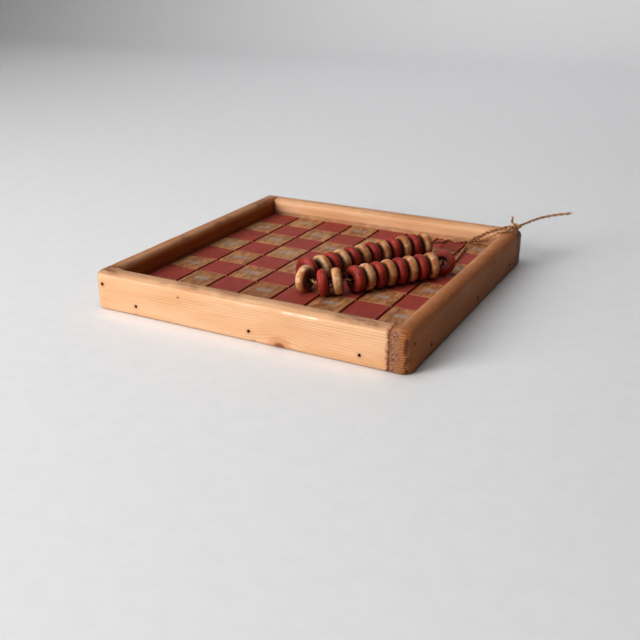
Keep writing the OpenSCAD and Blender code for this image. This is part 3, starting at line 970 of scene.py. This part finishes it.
class Bundle:
    """Tubes gathered into one mesh, each point with its place in the strand."""

    def __init__(self):
        self.points, self.faces, self.strand, self.shade_and_grime = [], [], [], []

    def tube(self, path, radii, sides, offset, twist=0.0, lobes=0.0, axis=None):
        """A closed tube along a path; twist turns its ridges, lobes deep, as it goes, and it gets
        painted shade on the side that faces the axis it is wound round and where that axis runs
        inside a checker."""
        _, right, up = carried_frames(path)
        first = sum(len(p) for p in self.points)
        travelled = distance_along(path)
        angle = np.arange(sides) * 2 * math.pi / sides
        ridge = 1 + lobes * np.cos(3 * angle[None, :] + (twist * travelled)[:, None])
        wide = (np.asarray(radii)[:, None] * ridge)[:, :, None]
        out = np.cos(angle)[None, :, None] * right[:, None]
        out = out + np.sin(angle)[None, :, None] * up[:, None]
        self.points.append((path[:, None] + wide * out).reshape(-1, 3))
        # painted shade on the side facing the axis, and inside the checkers' holes
        dark = np.zeros((len(path), sides))
        if axis is not None:
            inward = unit(axis - path)
            dark = smoothstep((out * inward[:, None]).sum(axis=2), -0.25, 0.45)
            dark = np.maximum(dark, 0.85 * in_holes(axis)[:, None])
        self.shade_and_grime.append(dark.ravel())
        lean = angle[None, :] + (twist * travelled)[:, None] / 3
        along = np.broadcast_to(travelled[:, None], lean.shape)
        place = np.stack([along, np.cos(lean), np.sin(lean)], axis=2)
        self.strand.append(place.reshape(-1, 3) + (offset, 0, 0))
        self.faces += capped_tube(first, len(path), sides)


def lay_plies(bundle, course):
    """Two plies twisted round each other along the course. The twist slackens towards the loose
    end, and the plies thin at both cuts."""
    _, right, up = carried_frames(course)
    travelled = np.arange(len(course)) * TWINE_STEP
    rng = np.random.default_rng(77)
    to_end = np.minimum(travelled, travelled[-1] - travelled)
    thin = 0.75 + 0.25 * smoothstep(to_end, 0, 3)
    tight = smoothstep(travelled, 20, 80)
    turned = np.cumsum(2 * math.pi * TWINE_STEP / PLY_TURN * (0.72 + 0.28 * tight))
    for ply in (0, 1):
        angle = turned + ply * math.pi + 0.35 * np.sin(travelled / 17 + ply)
        away = 0.92 - 0.21 * tight + 0.04 * np.sin(travelled / 5.3 + 2 * ply)
        spread = away + 0.5 * (1 - smoothstep(to_end, 0, 4))
        heading = np.cos(angle)[:, None] * right + np.sin(angle)[:, None] * up
        path = course + spread[:, None] * heading
        places = np.linspace(0, travelled[-1], 160)
        wobble = np.interp(travelled, places, rng.uniform(0.93, 1.07, 160))
        radii = 0.66 * thin * wobble
        bundle.tube(path, radii, 12, 500.0 * ply, twist=1.1, lobes=0.04, axis=course)


def grow_fuzz(bundle, course, count, seed):
    """Loose fibres that stand off the twine wherever it isn't inside a checker's hole."""
    rng = np.random.default_rng(seed)
    tangents, right, up = carried_frames(course)
    open_places = np.flatnonzero(to_checker(course) > 7.5)
    for _ in range(count):
        i = rng.choice(open_places)
        turn = rng.uniform(0, 2 * math.pi)
        out = math.cos(turn) * right[i] + math.sin(turn) * up[i]
        along = tangents[i] * rng.choice((-1, 1))
        length = rng.uniform(1.2, 4.0)
        heading = unit(along * rng.uniform(0.6, 1.4) + out * rng.uniform(0.3, 1.0))
        curl = rng.normal(size=3) * 0.35
        t = np.linspace(0, 1, 6)[:, None]
        path = course[i] + 0.9 * out + length * (t * heading + t ** 2 * curl)
        bundle.tube(path, np.linspace(0.055, 0.018, 6), 4, rng.uniform(0, 900))


def fray(bundle, tip, heading, count, length, seed):
    """Fibres that spread from a cut end."""
    rng = np.random.default_rng(seed)
    for _ in range(count):
        spread = rng.normal(size=3) * 0.35
        start = tip + rng.normal(size=3) * 0.35
        t = np.linspace(0, 1, 7)[:, None]
        curl = rng.normal(size=3) * 0.22
        path = start + rng.uniform(0.5, 1) * length * (t * (heading + spread) + t ** 2 * curl)
        bundle.tube(path, np.linspace(0.11, 0.03, 7), 5, rng.uniform(0, 900))


def build_twine():
    course = resample(twine_course(), TWINE_STEP)
    bundle = Bundle()
    lay_plies(bundle, course)
    grow_fuzz(bundle, course, 420, 5)
    first = unit(course[0] - course[4])
    last = unit(course[-1] - course[-5])
    fray(bundle, course[0] - 2 * first, first, 16, 5.0, 6)
    fray(bundle, course[-1] - 2 * last, last, 12, 4.0, 7)
    twine = mesh_object("twine_plies", np.concatenate(bundle.points), bundle.faces)
    store(twine.data, "strand", np.concatenate(bundle.strand))
    store(twine.data, "shade_and_grime", np.concatenate(bundle.shade_and_grime))
    finish_piece(twine, jute_material(), "jute", "twine", sharp=70)


# ---------------------------------------------------------------- stage

def build_floor():
    """A wide floor that sweeps up into a wall well behind the tray."""
    reach, flat_end, sweep, wall = 5000, 1900, 1100, 3500
    profile = [(y, 0.0) for y in np.linspace(-reach, flat_end, 8)]
    for a in np.linspace(0, math.pi / 2, 17)[1:]:
        profile.append((flat_end + sweep * math.sin(a), sweep * (1 - math.cos(a))))
    profile.append((flat_end + sweep, wall))
    ticks = np.linspace(-reach, reach, 11)
    points = [(x, y, z) for y, z in profile for x in ticks]
    floor = mesh_object("floor", points, grid_quads(len(profile), len(ticks)))
    floor.data.polygons.foreach_set("use_smooth", [True] * len(floor.data.polygons))
    floor.data.materials.append(floor_material())


def area_light(name, place, target, size, power, colour):
    data = bpy.data.lights.new(name, "AREA")
    data.shape = "RECTANGLE"
    data.size, data.size_y = size
    data.energy = power
    data.color = colour
    lamp = bpy.data.objects.new(name, data)
    lamp.location = place
    lamp.rotation_euler = (Vector(target) - Vector(place)).to_track_quat("-Z", "Y").to_euler()
    bpy.context.scene.collection.objects.link(lamp)


def build_lights():
    """A window at the front left, a ceiling, and a wash on the wall behind."""
    area_light("window", (-1.42, -2.34, 1.07), (0, 0, 0.02), (1.42, 1.35), 91, (1.0, 0.985, 0.96))
    area_light("ceiling", (-0.45, -0.25, 1.9), (0, 0, 0), (1.6, 2.0), 24, (0.97, 0.985, 1.0))
    area_light("background", (-0.5, 1.5, 1.9), (-0.8, 3.2, 0.2), (3.0, 1.0), 19, (0.97, 0.985, 1.0))
    world = bpy.data.worlds.new("studio")
    world.use_nodes = True
    world.node_tree.nodes["Background"].inputs["Color"].default_value = (0.9, 0.92, 0.95, 1)
    world.node_tree.nodes["Background"].inputs["Strength"].default_value = 0.05
    bpy.context.scene.world = world
    bpy.context.scene.view_settings.view_transform = "Standard"
    bpy.context.scene.view_settings.gamma = 0.85


def build_camera():
    """The photograph's viewpoint, with its slight blur off the focus."""
    data = bpy.data.cameras.new("camera")
    data.sensor_width = 36
    data.lens = 48.63
    camera = bpy.data.objects.new("camera", data)
    heading = Vector((-0.42803, 0.81631, -0.38785))
    camera.location = (0.38714, -0.74652, 0.31184)
    camera.rotation_euler = heading.to_track_quat("-Z", "Y").to_euler()
    data.dof.use_dof = True
    data.dof.focus_distance = 0.78
    data.dof.aperture_fstop = 11
    bpy.context.scene.collection.objects.link(camera)
    bpy.context.scene.camera = camera


# ---------------------------------------------------------------- assembly

for turns, rail in enumerate(RAILS):
    build_rail(turns, seed=3 + turns, **WOOD[rail])
build_board()
build_checkers()
iron = iron_material()
build_nails("board_nails_set", "board_nails", iron)
build_nails("corner_nails_set", "corner_nails", iron)
build_twine()
build_floor()
build_lights()
build_camera()
